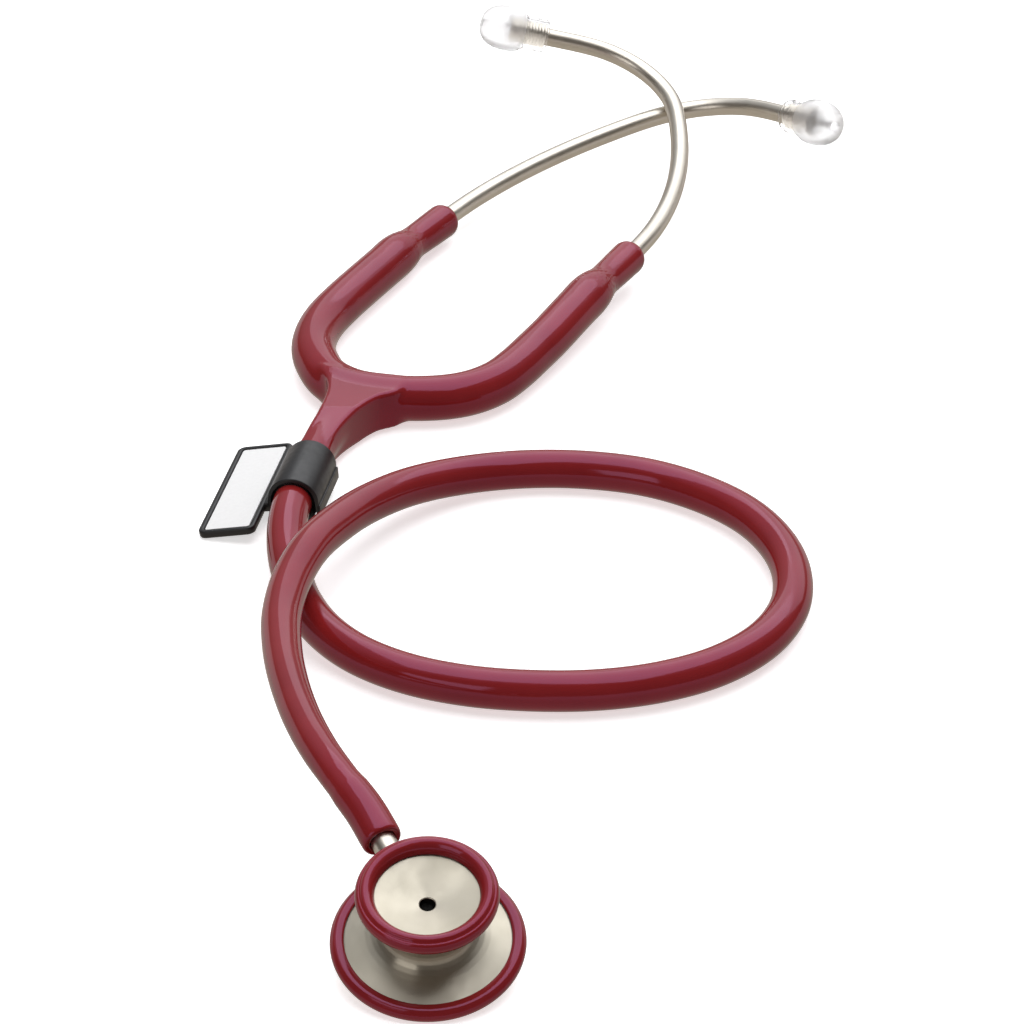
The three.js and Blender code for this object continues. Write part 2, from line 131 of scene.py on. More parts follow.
def ring_mesh(name, rings, lengths, loop=False, profile=None):
    """Quads between rings of points; a ring that has shrunk to a point becomes one vertex.
    The first UV map runs round and along; for a turned piece the second holds radius and height."""
    rings = np.asarray(rings, float)
    count, sides = rings.shape[:2]
    verts, index = [], []
    for ring in rings:
        single = np.ptp(ring, axis=0).max() < 1e-6
        start = len(verts)
        verts.extend(ring[:1] if single else ring)
        index.append([start] * sides if single else list(range(start, start + sides)))
    faces, uvs, turned_uvs = [], [], []
    pairs = list(zip(range(count), range(1, count)))
    if loop:
        pairs.append((count - 1, 0))
    for a, b in pairs:
        ua, ub = lengths[a], lengths[b] if b else lengths[-1] + 1.0
        for j in range(sides):
            k = (j + 1) % sides
            va, vb = j / sides, (j + 1) / sides
            corners = [(index[a][j], ua, va, a), (index[a][k], ua, vb, a),
                       (index[b][k], ub, vb, b), (index[b][j], ub, va, b)]
            kept = []
            for c in corners:
                if c[0] not in [x[0] for x in kept]:
                    kept.append(c)
            if len(kept) > 2:
                faces.append([c[0] for c in kept])
                uvs.extend((c[2], c[1] * MM) for c in kept)
                turned_uvs.extend(profile[c[3]] * MM for c in kept if profile is not None)
    mesh = bpy.data.meshes.new(name)
    mesh.from_pydata([tuple(np.asarray(v) * MM) for v in verts], [], faces)
    layer = mesh.uv_layers.new(name="along")
    layer.data.foreach_set("uv", np.array(uvs, np.float32).ravel())
    if profile is not None:
        layer = mesh.uv_layers.new(name="turned")
        layer.data.foreach_set("uv", np.array(turned_uvs, np.float32).ravel())
    bm = bmesh.new()
    bm.from_mesh(mesh)
    bmesh.ops.recalc_face_normals(bm, faces=bm.faces)
    bm.to_mesh(mesh)
    bm.free()
    return mesh


def turned(name, profile, sides, matrix, loop=False):
    """A solid turned about the Z axis of a frame, from [radius, height] pairs."""
    p = np.asarray(profile, float)
    angle = np.linspace(0.0, 2 * math.pi, sides, endpoint=False)
    ring = np.column_stack([np.cos(angle), np.sin(angle), np.zeros(sides)])
    m = np.array(matrix)
    rings = [(ring * (r, r, 0) + (0, 0, z)) @ m[:3, :3].T + m[:3, 3] / MM for r, z in p]
    run = run_of(np.column_stack([p, np.zeros(len(p))]))
    return shown(name, ring_mesh(name, rings, run, loop, p))


def carried(line):
    """Two directions across a line at each of its points, that never spin about it."""
    tangent = np.gradient(line, axis=0)
    tangent /= np.linalg.norm(tangent, axis=1)[:, None]
    side = np.cross(tangent[0], (0.0, 0.0, 1.0))
    sides = [unit(side)]
    for t in tangent[1:]:
        sides.append(unit(sides[-1] - t * (sides[-1] @ t)))
    sides = np.array(sides)
    return sides, np.cross(tangent, sides)


def swept(name, line, profile, sides=48):
    """A solid that follows a line, from [distance along it, radius] pairs."""
    run = run_of(line)
    across, other = carried(line)
    angle = np.linspace(0.0, 2 * math.pi, sides, endpoint=False)[:, None]
    rings, lengths, last = [], [], None
    for at, radius in profile:
        centre, u, v = (
            np.array([np.interp(at, run, a[:, k]) for k in range(3)])
            for a in (line, across, other)
        )
        rings.append(centre + radius * (np.cos(angle) * unit(u) + np.sin(angle) * unit(v)))
        step = 0.0 if last is None else math.hypot(at - last[0], radius - last[1])
        lengths.append((lengths[-1] if lengths else 0.0) + step)
        last = (at, radius)
    return shown(name, ring_mesh(name, rings, lengths))


def cap_ends(mesh, rings):
    """Closes the first and the last ring with a flat face."""
    corners = len(rings[0])
    bm = bmesh.new()
    bm.from_mesh(mesh)
    bm.verts.ensure_lookup_table()
    for start in (0, (len(rings) - 1) * corners):
        bm.faces.new([bm.verts[start + j] for j in range(corners)])
    bmesh.ops.recalc_face_normals(bm, faces=bm.faces)
    bm.to_mesh(mesh)
    bm.free()
    return mesh


def prism(name, outline, low, high, edge=0.3, matrix=None):
    """A flat outline made solid along Z, with softly rounded end edges."""
    steps = 4
    p = np.asarray(outline, float)
    out = np.roll(p, -1, axis=0) - np.roll(p, 1, axis=0)
    normal = np.column_stack([out[:, 1], -out[:, 0]])
    normal /= np.linalg.norm(normal, axis=1)[:, None]
    area = np.sum(p[:, 0] * np.roll(p[:, 1], -1) - np.roll(p[:, 0], -1) * p[:, 1])
    normal *= np.sign(area)
    rings = []
    for end, way in ((low, 1), (high, -1)):
        part = []
        for k in range(steps + 1):
            a = math.pi / 2 * k / steps
            inset, rise = edge * (1 - math.sin(a)), edge * (1 - math.cos(a))
            ring = np.column_stack([p - normal * inset, np.full(len(p), end + way * rise)])
            part.append(ring)
        rings += part if way == 1 else part[::-1]
    mesh = cap_ends(ring_mesh(name, rings, np.arange(len(rings)) * 1.0), rings)
    return shown(name, mesh, matrix)


def basis(origin, x, y, z):
    m = Matrix.Identity(4)
    for column, axis in enumerate((x, y, z)):
        for row in range(3):
            m[row][column] = float(axis[row])
    for row in range(3):
        m[row][3] = float(origin[row]) * MM
    return m


def about(origin, axis):
    """A frame whose Z points along axis."""
    z = unit(axis)
    x = unit(np.cross((0.0, 0.0, 1.0) if abs(z[2]) < 0.9 else (0.0, 1.0, 0.0), z))
    return basis(origin, x, np.cross(z, x), z)


# ---------------------------------------------------------------- camera
AIM = Vector(SHIFT * MM)
CAMERA_HEIGHT = math.radians(30.5)
CAMERA_DISTANCE = 1.2
LENS = 155.25
SENSOR = 36
camera = bpy.data.objects.new("camera", bpy.data.cameras.new("camera"))
camera.data.lens = LENS
camera.data.sensor_width = SENSOR
camera.location = AIM + CAMERA_DISTANCE * Vector(
    (0, -math.cos(CAMERA_HEIGHT), math.sin(CAMERA_HEIGHT)))
camera.rotation_euler = (math.pi / 2 - CAMERA_HEIGHT, 0, 0)
bpy.context.scene.collection.objects.link(camera)
bpy.context.scene.camera = camera

# ---------------------------------------------------------------- chest piece frame
HEAD_TILT = math.radians(16)
STEM_TURN = math.radians(115.5)
HEAD_CENTRE = placed((-19.3, -207.95, 8.37))
STEM_HEIGHT = 8
HEAD_BACK = np.array((0.0, math.cos(HEAD_TILT), math.sin(HEAD_TILT)))
HEAD_UP = np.array((0.0, -math.sin(HEAD_TILT), math.cos(HEAD_TILT)))
STEM_WAY = math.cos(STEM_TURN) * np.array((1.0, 0.0, 0.0)) + math.sin(STEM_TURN) * HEAD_BACK
STEM_ROOT = HEAD_CENTRE + STEM_HEIGHT * HEAD_UP
HEAD_FRAME = basis(HEAD_CENTRE, (1, 0, 0), HEAD_BACK, HEAD_UP)
STEM_FRAME = about(STEM_ROOT, STEM_WAY)
STEM_OUT = 25.2

# ---------------------------------------------------------------- tubing
TUBE_ROUTE = placed([
    (-56.3, 7.6, 7.2), (-59.1, -7, 7.2), (-60.1, -18, 6.8), (-59.7, -30, 6), (-57.8, -42.5, 5.6),
    (-54.5, -56, 5.6), (-48.5, -69.5, 5.6), (-39.5, -81, 5.6), (-27, -90, 5.6), (-12, -95.7, 5.6),
    (5, -98.2, 5.6), (22, -97.8, 5.6), (38, -94, 5.6), (52.5, -86.5, 5.6), (64.5, -74.5, 5.6),
    (71.8, -59, 5.6), (73.6, -43, 5.6), (70.8, -27, 5.6), (63.5, -12, 5.6), (52, 0, 5.6),
    (37, 9, 5.6), (20, 13.2, 5.6), (3, 13.3, 5.7), (-13, 8.8, 6.5), (-27, -0.9, 8.7),
    (-38.5, -15.5, 11.7), (-46.8, -32, 14.8), (-52.7, -48, 17.2), (-56.7, -65, 18),
    (-58.3, -83, 18.7), (-57.3, -102, 20.4), (-54.8, -120.5, 22.6), (-50.7, -140.2, 24.9),
    (-45.8, -156.6, 26.5), (-40.9, -168.4, 26.9),
])
tube_line = smooth_line(np.vstack([
    TUBE_ROUTE,
    STEM_ROOT + STEM_WAY * (STEM_OUT + 10),
    STEM_ROOT + STEM_WAY * (STEM_OUT - 0.4),
]), 0.8)
tube_length = run_of(tube_line)[-1]
TUBE_START = [(0, 0), (0, 4.7), (0.15, 5.1)]
# Distance back from the far end, and the radius there.
TUBE_SHAPE = [(160, 5.3), (110, 5.15), (70, 4.8), (40, 4.6), (25, 4.45), (21, 4.45), (19, 4.58),
              (17, 4.78), (14, 4.85), (3, 4.92), (1.2, 4.88)]
TUBE_MOUTH = [(0.8, 4.84), (0.35, 4.7), (0.08, 4.45), (0, 4.2), (0, 3.65), (0.1, 3.4), (0.5, 3.2),
              (1.2, 3.12), (9, 3.12), (9.2, 0)]
FINE_END = 30


def from_end(total, pairs):
    """[distance back from the end, radius] pairs as [distance along, radius] pairs."""
    return [(total - back, radius) for back, radius in pairs]


tube_at = np.concatenate([
    np.arange(0.6, tube_length - FINE_END, 0.9),
    np.arange(tube_length - FINE_END, tube_length - TUBE_SHAPE[-1][0], 0.45),
])
tube_radii = np.interp(tube_at, *zip(*from_end(tube_length, TUBE_SHAPE)))
tube_profile = TUBE_START + list(zip(tube_at, tube_radii)) + from_end(tube_length, TUBE_MOUTH)
tubing = swept("tubing", tube_line, tube_profile, 56)
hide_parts("tube")
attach(tubing, "root")

# ---------------------------------------------------------------- yoke skin
HINGES = {"left": placed((-55.3, 71.6, 6.75)), "right": placed((-18.6, 52.2, 6.75))}
HINGE_WAYS = {"left": heading(106), "right": heading(14)}
NECKS = {
    "left": {"end": placed((-18.95, 165.4, 6.75)), "way": 59, "roll": 12.1,
             "bend": 32, "hook": 78.8},
    "right": {"end": placed((36.25, 136.2, 9.45)), "way": 63.1, "roll": 18.8,
              "bend": 35, "hook": 86.7},
}
NECK_LENGTH = 27
NECK_STRAIGHT = 12
NECK_PAST = 2
NECK_MOUTH = 1.5
LEFT_ARM = placed([(-56.8, 79.5, 6.75), (-56.5, 88, 6.75), (-54.3, 97.5, 6.75), (-50, 108, 6.75),
                   (-45, 118.3, 6.75), (-38.8, 130.5, 6.75)])
RIGHT_ARM = placed([(-11.4, 54.9, 6.75), (-4.5, 60.4, 6.8), (1, 68.3, 6.95), (6.2, 77.6, 7.3),
                    (10.9, 86, 7.9), (16.8, 97.5, 8.8)])
CROTCH = placed([(-51.7, 62.5, 6.75), (-45.2, 56, 6.75), (-37, 52.6, 6.75), (-28, 51.4, 6.75)])
STALK = placed([(-42.5, 55, 6.75), (-46.8, 43.5, 6.75), (-50.8, 31, 7), (-54.2, 18.5, 7.2),
                (-56.2, 8, 7.2)])
WEB = placed([(-54, 61, 0), (-51.8, 50, 0), (-53.5, 37, 0), (-56.9, 25, 0), (-59, 13.5, 0),
              (-51.6, 12, 0), (-49, 22.3, 0), (-44.2, 33, 0), (-37.6, 42, 0), (-31.5, 45.8, 0),
              (-30, 52.5, 0), (-44, 56.5, 0)])
# Distance from the mouth or start, and the radius there.
NECK_SHAPE = [(-3, 5.1), (0.8, 5.15), (3, 5.22), (9, 5.12), (15, 4.97), (18.5, 4.92), (20.5, 5.02),
              (22.5, 5.3), (24.5, 5.72), (26.5, 6.12), (28.5, 6.38), (31, 6.5), (38, 6.4)]
STALK_SHAPE = [(0, 4.6), (14, 4.7), (30, 4.8), (50, 4.85)]
WEB_MIDDLE = 6.75
WEB_HALF = 5.9
WEB_HALF_LOW = 3.8
WEB_TAPER = (15.5 + SHIFT[1], 36 + SHIFT[1])
WEB_EDGE = 1.4
VOXEL = 0.8


def neck_points(side):
    """Three points of a neck, from its shoulder to just past its end."""
    way = heading(NECKS[side]["way"])
    end = NECKS[side]["end"]
    return [end - NECK_LENGTH * way, end - NECK_STRAIGHT * way, end + NECK_PAST * way]


bow_line = smooth_line(np.vstack([
    neck_points("left")[::-1], LEFT_ARM[::-1], HINGES["left"], CROTCH,
    HINGES["right"], RIGHT_ARM, neck_points("right"),
]), 1.3)
bow_run = run_of(bow_line)
bow_from_mouth = np.minimum(bow_run, bow_run[-1] - bow_run) - NECK_PAST - NECK_MOUTH
bow_radii = np.interp(bow_from_mouth, *zip(*NECK_SHAPE))
stalk_line = smooth_line(STALK, 1.3)
stalk_radii = np.interp(run_of(stalk_line), *zip(*STALK_SHAPE))
web_outline = smooth_line(np.vstack([WEB, WEB[:1]]), 1.2)[:-1, :2]


def tube_distance(points, line, radii):
    """Signed distance to a tube of changing radius."""
    a, ab = line[:-1], np.diff(line, axis=0)
    ra, rab = radii[:-1], np.diff(radii)
    lengths = (ab**2).sum(1)
    out = np.empty(len(points))
    batch = 6000
    for start in range(0, len(points), batch):
        p = points[start:start + batch]
        t = np.clip((p @ ab.T - (a * ab).sum(1)) / lengths, 0, 1)
        near2 = sum((p[:, k, None] - a[:, k] - t * ab[:, k]) ** 2 for k in range(3))
        out[start:start + batch] = (np.sqrt(near2) - ra - t * rab).min(1)
    return out


def outline_distance(points, outline):
    """Signed distance in the plane to a closed outline."""
    p = points[:, None, :2]
    a, b = outline, np.roll(outline, -1, axis=0)
    e = b - a
    w = p - a
    t = np.clip((w * e).sum(2) / (e**2).sum(1), 0, 1)
    distance = np.sqrt(((w - t[..., None] * e) ** 2).sum(2).min(1))
    crossing = ((a[:, 1] > p[..., 1]) != (b[:, 1] > p[..., 1])) & (
        p[..., 0] < e[:, 0] * (p[..., 1] - a[:, 1]) / (e[:, 1] + 1e-12) + a[:, 0])
    inside = crossing.sum(1) % 2 == 1
    return np.where(inside, -distance, distance)


def soft_min(a, b, k):
    """The smaller of two distances, rounded over a width k where they meet."""
    h = np.clip(0.5 + 0.5 * (b - a) / k, 0, 1)
    return b + (a - b) * h - k * h * (1 - h)


def yoke_distance(points):
    """Signed distance to the moulded yoke, its parts flowing into each other."""
    bow = tube_distance(points, bow_line, bow_radii)
    for side in ("left", "right"):
        way = heading(NECKS[side]["way"])
        mouth = (points - NECKS[side]["end"]) @ way + NECK_MOUTH
        near = np.linalg.norm(points - NECKS[side]["end"], axis=1) < 20
        bow = np.where(near, -soft_min(-bow, -mouth, 3.0), bow)
    stalk = tube_distance(points, stalk_line, stalk_radii)
    end_way = unit(stalk_line[-1] - stalk_line[-3])
    stalk = -soft_min(-stalk, -((points - stalk_line[-1]) @ end_way + 0.2), 0.8)
    flat = outline_distance(points, web_outline) + WEB_EDGE
    half = np.interp(points[:, 1], WEB_TAPER, (WEB_HALF_LOW, WEB_HALF))
    tall = np.abs(points[:, 2] - WEB_MIDDLE) - half + WEB_EDGE
    web = np.minimum(np.maximum(flat, tall), 0) + np.hypot(
        np.maximum(flat, 0), np.maximum(tall, 0)) - WEB_EDGE
    return soft_min(bow, soft_min(web, stalk, 0.8), 1.8)


def slope(points, distance):
    """A distance at some points, and the direction in which it grows there."""
    step = 0.05
    here = distance(points)
    out = np.empty_like(points)
    for k in range(3):
        moved = points.copy()
        moved[:, k] += step
        out[:, k] = (distance(moved) - here) / step
    return here, out / np.maximum(np.linalg.norm(out, axis=1), 1e-9)[:, None]


def yoke_skin():
    """Vertices and faces of the whole moulded skin: a rough body drawn on to the true surface."""
    def body(line, radii):
        run = run_of(line)
        profile = [(0, 0)] + list(zip(run, radii)) + [(run[-1], 0)]
        return swept("rough", line, profile, 20)

    parts = [body(bow_line[2:-2], bow_radii[2:-2]), body(stalk_line, stalk_radii),
             prism("rough", web_outline, WEB_MIDDLE - WEB_HALF, WEB_MIDDLE + WEB_HALF)]
    bm = bmesh.new()
    for part in parts:
        bm.from_mesh(part.data)
        bpy.data.objects.remove(part)
    mesh = bpy.data.meshes.new("rough")
    bm.to_mesh(mesh)
    bm.free()
    rough = shown("rough", mesh)
    remesh = rough.modifiers.new("remesh", "REMESH")
    remesh.mode = "VOXEL"
    remesh.voxel_size = VOXEL * MM
    made = rough.evaluated_get(bpy.context.evaluated_depsgraph_get()).to_mesh()
    points = np.array([v.co for v in made.vertices], float) / MM
    faces = [list(f.vertices) for f in made.polygons]
    edges = np.array([e.vertices[:] for e in made.edges])
    bpy.data.objects.remove(rough)
    links = np.bincount(edges.ravel(), minlength=len(points))[:, None]
    rounds, smoothings, pulls = 4, 4, 2
    for _ in range(rounds):
        for _ in range(smoothings):
            total = np.zeros_like(points)
            np.add.at(total, edges[:, 0], points[edges[:, 1]])
            np.add.at(total, edges[:, 1], points[edges[:, 0]])
            points = 0.5 * points + 0.5 * total / links
        for _ in range(pulls):
            here, way = slope(points, yoke_distance)
            points -= way * np.clip(here, -1, 1)[:, None]
    return points, faces


def skin_half(name, points, faces, cut_at, cut_way):
    """The skin on one side of a plane, shaded by the true surface."""
    mesh = bpy.data.meshes.new(name)
    mesh.from_pydata([tuple(p * MM) for p in points], [], faces)
    bm = bmesh.new()
    bm.from_mesh(mesh)
    bmesh.ops.bisect_plane(bm, geom=bm.verts[:] + bm.edges[:] + bm.faces[:], dist=1e-7,
                           plane_co=cut_at * MM, plane_no=cut_way, clear_outer=True)
    bmesh.ops.recalc_face_normals(bm, faces=bm.faces)
    bm.to_mesh(mesh)
    bm.free()
    o = shown(name, mesh)
    kept = np.array([v.co for v in mesh.vertices], float) / MM
    _, normals = slope(kept, yoke_distance)
    mesh.normals_split_custom_set_from_vertices([tuple(n) for n in normals])
    return o


skin_points, skin_faces = yoke_skin()
# The skin is cut in two where nothing moves.
SEAM = placed((-29, 51.4, 6.75))
SEAM_WAY = unit((1.0, -0.25, 0.0))
yoke_left = skin_half("yoke_left", skin_points, skin_faces, SEAM, SEAM_WAY)
yoke_right = skin_half("yoke_right", skin_points, skin_faces, SEAM, -SEAM_WAY)
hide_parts("yoke_hub", "yoke_arm_left")
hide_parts("yoke_arm_right")
for skin, side in ((yoke_left, "left"), (yoke_right, "right")):
    hinge, way = HINGES[side], HINGE_WAYS[side]
    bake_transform(skin)

# ---------------------------------------------------------------- ear tubes and tips
EAR_TUBE_RADIUS = 2.75
EAR_TUBE_SOCKET = 22
EAR_BEND = 83.7
EAR_HOOK = 42.1
EAR_END = 20
EAR_STEPS = 6


def ear_tube_line(side):
    """Centre line of an ear tube, with the place and direction of its end."""
    n = NECKS[side]
    along = heading(n["way"])
    inward = np.array((along[1], -along[0], 0.0)) * (1 if side == "left" else -1)
    roll = math.radians(n["roll"])
    swing = inward * math.cos(roll) + np.array((0.0, 0.0, math.sin(roll)))
    flat = [np.array((-EAR_TUBE_SOCKET, 0.0)), np.array((-EAR_TUBE_SOCKET / 2, 0.0)), np.zeros(2)]
    turn = 0.0
    for length, total in ((EAR_BEND, n["bend"]), (EAR_HOOK, n["hook"])):
        for _ in range(EAR_STEPS):
            flat.append(flat[-1] + heading(turn + total / EAR_STEPS / 2)[:2] * length / EAR_STEPS)
            turn += total / EAR_STEPS
    for _ in range(2):
        flat.append(flat[-1] + heading(turn)[:2] * EAR_END / 2)
    line = [n["end"] + p[0] * along + p[1] * swing for p in flat]
    way = heading(turn)
    return smooth_line(line, 0.8), line[-1], way[0] * along + way[1] * swing


EAR_TUBE_MOUTH = [(0.3, EAR_TUBE_RADIUS), (0.1, 2.66), (0, 2.45), (0, 2.1), (0.2, 1.9), (6, 1.9),
                  (6.2, 0)]
FERRULE = [[3.05, -7]] + [
    [3.7 + 0.12 * math.cos(math.pi * k), -6.6 + 0.5 * k] for k in range(19)
] + [[3.7, 3.1], [3.7, 4.4], [3.3, 5], [3.05, 5]]
EARTIP_OUTER = [
    (4.1, -7.3), (4.9, -7.3), (5.2, -7.0), (5.2, -4.6), (5.08, -4.3), (5.2, -4.0), (5.2, -1.2),
    (5.25, -0.5), (5.6, 0.15), (6.15, 0.9), (6.55, 1.9), (6.85, 3.3), (7.0, 5.1), (6.95, 6.8),
    (6.7, 8.5), (6.2, 10.2), (5.4, 11.7), (4.3, 12.8), (3.1, 13.45), (2.1, 13.7), (1.6, 13.62),
    (1.35, 13.3), (1.3, 12.6),
]
EARTIP_INNER = [(1.3, 6.6), (1.6, 6.1), (3.6, 5.7), (4.0, 5.3), (4.0, -6.9)]

for side in ("left", "right"):
    line, end, way = ear_tube_line(side)
    total = run_of(line)[-1]
    profile = [(0, 0), (0, 2.4), (0.3, EAR_TUBE_RADIUS)]
    profile += [(at, EAR_TUBE_RADIUS) for at in np.arange(1, total - 0.5, 0.8)]
    profile += from_end(total, EAR_TUBE_MOUTH)
    ear_tube = swept(f"ear_pipe_{side}", line, profile, 48)
    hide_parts(f"ear_tube_{side}")
    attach(ear_tube, f"headset_{side}")
    nose = about(end, way)
    thread = turned(f"ferrule_{side}", eased(FERRULE, 0.15, 2, loop=True), 64, nose, loop=True)
    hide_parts(f"tip_ferrule_{side}")
    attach(thread, f"headset_{side}")
    tip_profile = EARTIP_OUTER + EARTIP_INNER
    tip = turned(f"soft_tip_{side}", eased(tip_profile, 0.35, 3, loop=True), 96, nose, loop=True)
    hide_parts(f"eartip_{side}")
    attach(tip, f"tip_{side}")

# ---------------------------------------------------------------- name tag
CLIP_RADIUS = 7.1
CLIP_INNER = 5.75
CLIP_LENGTH = 22
PLATE_LENGTH = 47.4
PLATE_WIDTH = 16
PLATE_THICKNESS = 2.2
PLATE_BORDER = 1.5
PLATE_CORNER = 2.2
CARD_GAP = 0.25
PLATE_TILT = -math.radians(12)
PLATE_EDGE = np.array((8.1, -1.7))
tag_low = placed((-59.1, -7, 7.2))
tag_axis = unit(placed((-54.2, 18.5, 7.2)) - tag_low)
tag_out = np.array((-tag_axis[1], tag_axis[0], 0.0))
TAG_FRAME = basis(tag_low, tag_out, (0, 0, 1), np.cross(tag_out, (0, 0, 1)))


def arc(radius, start, end, count):
    a = np.radians(np.linspace(start, end, count))
    return np.column_stack([radius * np.cos(a), radius * np.sin(a)])


def round_rectangle(length, width, corner, count=8):
    """Closed outline round the origin, from its long and short side."""
    out = []
    for quarter, (sx, sy) in enumerate(((1, 1), (-1, 1), (-1, -1), (1, -1))):
        centre = np.array((sx * (length / 2 - corner), sy * (width / 2 - corner)))
        out.append(centre + arc(corner, 90 * quarter, 90 * quarter + 90, count))
    return np.vstack(out)


def joined(name, objects):
    """One object from several, in the first one's frame."""
    bm = bmesh.new()
    for o in objects:
        data = o.data.copy()
        data.transform(objects[0].matrix_world.inverted() @ o.matrix_world)
        bm.from_mesh(data)
    mesh = bpy.data.meshes.new(name)
    bm.to_mesh(mesh)
    bm.free()
    matrix = objects[0].matrix_world.copy()
    for o in objects:
        bpy.data.objects.remove(o)
    return shown(name, mesh, matrix)


bpy.context.view_layer.update()
ring_outline = np.vstack([arc(CLIP_RADIUS, -144, 202, 90), arc(CLIP_INNER, 202, -144, 90)])
clip_ring = prism("clip_ring", eased(ring_outline, 0.3, 3, loop=True), 0, CLIP_LENGTH, 0.35,
                  TAG_FRAME)
lip_outline = eased([(-7.75, -4.0), (-6.6, -4.0), (-6.3, -0.6), (-7.5, -0.4)], 0.35, 4, loop=True)
clip_lip = prism("clip_lip", lip_outline, 0, CLIP_LENGTH, 0.3, TAG_FRAME)
bridge_outline = eased([(5.9, -4.0), (9.6, -4.6), (9.6, -2.4), (6.6, -1.2)], 0.4, 4, loop=True)
clip_bridge = prism("clip_bridge", bridge_outline, 0.6, CLIP_LENGTH - 0.6, 0.4, TAG_FRAME)

plate_shift = -(PLATE_LENGTH - CLIP_LENGTH) / 2 + 0.4
tilt_x = np.array((math.cos(PLATE_TILT), math.sin(PLATE_TILT)))
tilt_y = np.array((-tilt_x[1], tilt_x[0]))


def tag_world(flat):
    """A direction in the clip's frame as one in the row frame."""
    return np.array(TAG_FRAME.to_3x3() @ Vector(flat))


plate_middle = PLATE_EDGE + tilt_x * PLATE_WIDTH / 2
plate_centre = Vector((*plate_middle, PLATE_LENGTH / 2 + plate_shift)) * MM
PLATE_FRAME = basis(np.array(TAG_FRAME @ plate_centre) / MM, tag_world((0, 0, -1)),
                    tag_world((*tilt_x, 0)), tag_world((*tilt_y, 0)))


def plate_mesh(name):
    """The frame round the card: a tray with rounded corners and edges."""
    steps = [(0.6, -PLATE_THICKNESS), (0.2, -PLATE_THICKNESS + 0.1), (0.0, -PLATE_THICKNESS + 0.5),
             (0.0, -0.45), (0.12, -0.12), (0.45, 0.0), (PLATE_BORDER - 0.4, 0.0),
             (PLATE_BORDER - 0.1, -0.1), (PLATE_BORDER, -0.35), (PLATE_BORDER, -0.9)]
    rings = []
    for inset, z in steps:
        flat = round_rectangle(PLATE_LENGTH - 2 * inset, PLATE_WIDTH - 2 * inset,
                               max(PLATE_CORNER - inset, 0.5))
        rings.append(np.column_stack([flat, np.full(len(flat), z)]))
    return cap_ends(ring_mesh(name, rings, np.arange(len(rings)) * 1.0), rings)


plate = shown("plate", plate_mesh("plate"), PLATE_FRAME)
bpy.context.view_layer.update()
tag = joined("name_tag", [clip_ring, clip_lip, clip_bridge, plate])
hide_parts("tag_clip")
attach(tag, "tag")
card_margin = 2 * (PLATE_BORDER + CARD_GAP)
card_outline = round_rectangle(PLATE_LENGTH - card_margin, PLATE_WIDTH - card_margin, 0.8)
card = prism("name_card", card_outline, -0.7, -0.3, 0.08, PLATE_FRAME)
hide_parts("tag_card")
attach(card, "tag")

# ---------------------------------------------------------------- chest piece
BLOCK_RADIUS = 10.6
BODY_PROFILE = [
    (0, 0.2), (6, 0.2), (18.6, -0.5), (19.4, -0.9), (21.1, -0.9), (21.1, 0.3), (19.8, 0.5),
    (18, 1.2), (16, 1.97), (14.5, 2.58), (13.2, 3.2), (12.1, 3.9), (11.3, 4.7), (10.85, 5.5),
    (BLOCK_RADIUS, 6.5), (BLOCK_RADIUS, 10.9), (9.9, 11.6),
    (11.2, 12.6), (14.2, 14.3), (15.2, 15.2), (15.2, 16.2), (12.3, 15.7),
    (2.0, 12.85), (1.8, 12.65), (1.8, 2.0), (0, 2.0),
]
chest = turned("chest_body", eased(BODY_PROFILE, 0.25, 3), 180, HEAD_FRAME)
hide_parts("head_body")
BOSS = [(3.6, 6), (4.7, 6), (4.7, 12.9), (4.4, 13.2), (3.6, 13.2)]
boss = turned("stem_boss", eased(BOSS, 0.2, 3, loop=True), 72, STEM_FRAME, loop=True)
BELL_RIM = [
    (12.0, 15.9), (12.1, 16.7), (12.5, 17.7), (13.3, 18.6), (14.2, 18.9), (14.9, 18.7),
    (15.25, 18.25), (15.5, 18.05), (15.85, 18.0), (16.3, 17.5), (16.6, 16.6), (16.5, 15.7),
    (16.15, 15.0), (15.8, 14.8), (15.5, 14.9), (15.4, 15.6), (15.4, 16.35),
]
DISH_RIM = [
    (19.3, 0.85), (19.9, 1.25), (21.0, 1.4), (21.7, 1.2), (22.0, 0.85), (22.25, 0.55), (22.6, 0.1),
    (22.75, -0.7), (22.6, -1.5), (22.2, -2.1), (21.5, -2.5), (20.6, -2.6), (19.9, -2.5),
    (19.6, -2.1), (19.7, -1.85), (21.3, -1.8), (21.3, 0.45),
]
bell_rim = turned("bell_ring", eased(BELL_RIM, 0.5, 4, loop=True), 160, HEAD_FRAME, loop=True)
dish_rim = turned("dish_ring", eased(DISH_RIM, 0.5, 4, loop=True), 200, HEAD_FRAME, loop=True)
DIAPHRAGM = [(0, -1.7), (19.1, -1.7), (19.2, -1.65), (19.25, -1.5), (20.95, -1.5), (21.1, -1.45),
             (21.1, -1.25), (20.95, -1.2), (0, -1.2)]
membrane = turned("membrane", DIAPHRAGM, 128, HEAD_FRAME)
for o, node, slot in ((chest, None, "steel"), (boss, None, "steel"),
                      (bell_rim, "bell_rim", "tubing"), (dish_rim, "diaphragm_rim", "tubing"),
                      (membrane, "diaphragm", "membrane")):
    if node:
        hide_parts(node)
    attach(o, "head")

